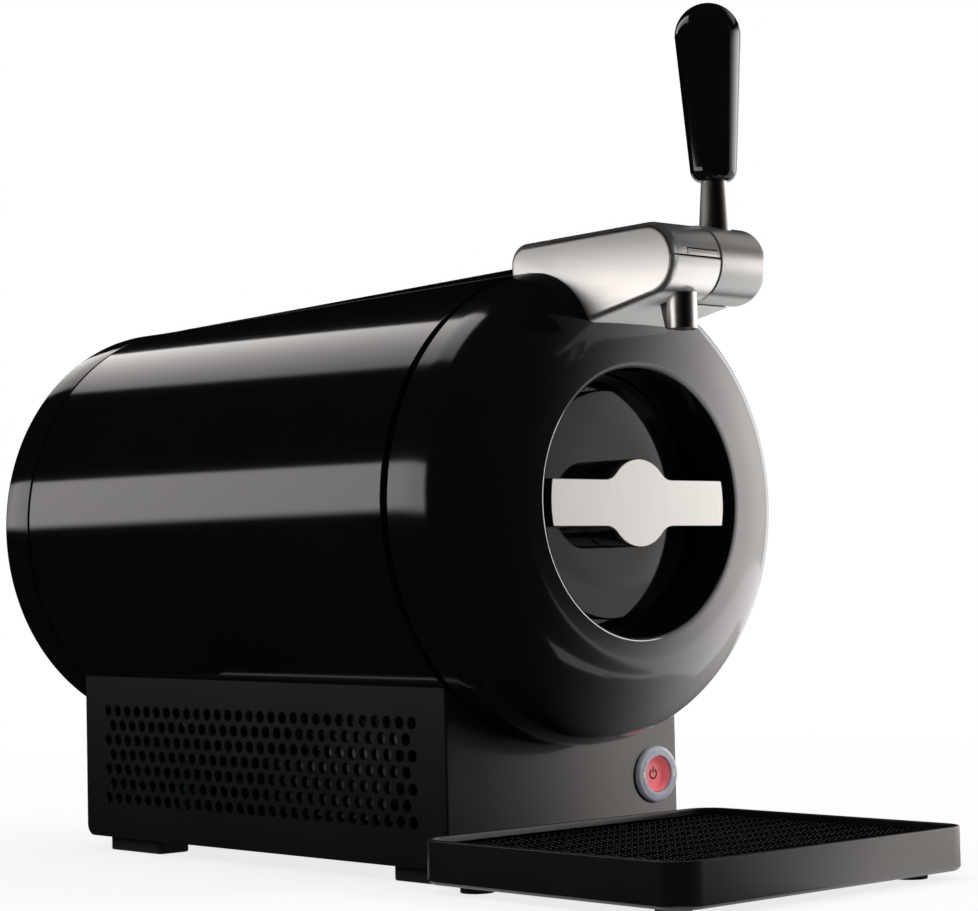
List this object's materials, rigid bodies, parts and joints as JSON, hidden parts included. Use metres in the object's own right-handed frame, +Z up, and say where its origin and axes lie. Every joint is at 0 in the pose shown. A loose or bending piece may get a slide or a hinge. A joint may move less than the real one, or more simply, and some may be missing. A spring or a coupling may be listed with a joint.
{
  "type": "mini keg beer dispenser",
  "caption": "Countertop chilled dispenser for a small keg: horizontal drum, round door with bar handle, lever tap, vented base, drip tray.",
  "frame": {"origin": "on the table, in the middle of the overall footprint, under the drum", "axes": "+Z up; the front with door, tap and tray faces -Y; the drum's axis runs along Y; +X is the side of the lever and the power button"},
  "size_m": [0.23, 0.489, 0.411],
  "materials": {
    "gloss_black": "high gloss",
    "satin_black": "satin",
    "base_black": "fine matt grain",
    "door_gloss": "piano gloss",
    "brushed_metal": "brushed",
    "steel": "turned",
    "brass": "turned",
    "aluminium": "plain",
    "rubber": "matt",
    "foam": "foam",
    "ceramic": "matt",
    "acetal": "satin",
    "circuit_green": "satin",
    "clear_plastic": "clear",
    "button_red": "satin"
  },
  "bodies": {
    "housing": {"main_shell": "gloss_black", "rear_cap": "gloss_black", "top_spine": "satin_black", "nose_ring": "satin_black", "front_bulkhead": "satin_black", "tube_guide": "satin_black", "keg_chamber": "aluminium", "chamber_end": "aluminium", "chamber_insulation": "foam", "keg_bumper": "rubber", "tap_arm": "brushed_metal", "cheek_plate_left": "brushed_metal", "cheek_plate_right": "brushed_metal", "lid_hinge_pin": "steel", "spout": "brushed_metal", "shaft_bushing": "brass", "side_panel_left": "base_black", "side_panel_right": "base_black", "base_front_panel": "base_black", "base_rear_panel": "base_black", "bottom_plate": "base_black", "bottom_screws": "steel", "drum_cradle": "base_black", "foot_front_left": "rubber", "foot_front_right": "rubber", "foot_rear_left": "rubber", "foot_rear_right": "rubber", "cold_block": "aluminium", "thermoelectric_module": "ceramic", "heat_sink": "aluminium", "fan_frame": "base_black", "power_supply": "circuit_green", "control_board": "circuit_green", "cord_gland": "rubber", "button_ring": "clear_plastic", "power_switch": "acetal"},
    "lever": {"barrel_end": "brushed_metal", "tap_shaft": "steel", "pinch_cam": "acetal", "lever_stem": "brushed_metal", "lever_grip": "gloss_black"},
    "lid": {"tap_lid": "brushed_metal", "pinch_pad": "rubber"},
    "door": {"door_disc": "door_gloss", "door_body": "satin_black", "door_seal": "rubber", "door_insulation": "foam", "door_back": "satin_black"},
    "handle": {"handle_body": "satin_black", "handle_face": "brushed_metal", "handle_shaft": "steel", "latch_plate": "steel"},
    "button": {"power_button": "button_red"},
    "tray": {"drip_tray": "satin_black", "tray_feet": "rubber"},
    "grate": {"drip_grate": "satin_black"},
    "fan": {"fan_rotor": "base_black"}
  },
  "joints": [
    {"name": "tap_lever", "type": "hinge", "parent": "housing", "child": "lever", "pos_m": [0, -0.168, 0.2864], "axis": [1, 0, 0], "range_deg": [0, 55]},
    {"name": "tap_lid", "type": "hinge", "parent": "housing", "child": "lid", "pos_m": [0, -0.096, 0.2986], "axis": [-1, 0, 0], "range_deg": [0, 75]},
    {"name": "door_pull", "type": "slide", "parent": "housing", "child": "door", "axis": [0, -1, 0], "range_m": [0, 0.12]},
    {"name": "handle_turn", "type": "hinge", "parent": "door", "child": "handle", "pos_m": [0, -0.12, 0.177], "axis": [0, -1, 0], "range_deg": [0, 90]},
    {"name": "power_press", "type": "slide", "parent": "housing", "child": "button", "axis": [0, 1, 0], "range_m": [0, 0.002], "stiffness_N_per_m": 300},
    {"name": "tray_slide", "type": "slide", "parent": "housing", "child": "tray", "axis": [0, -1, 0], "range_m": [0, 0.17]},
    {"name": "grate_lift", "type": "slide", "parent": "tray", "child": "grate", "axis": [0, 0, 1], "range_m": [0, 0.03]},
    {"name": "fan_spin", "type": "hinge", "parent": "housing", "child": "fan", "pos_m": [0, 0.06, 0.015], "axis": [0, 0, 1], "continuous": true}
  ]
}
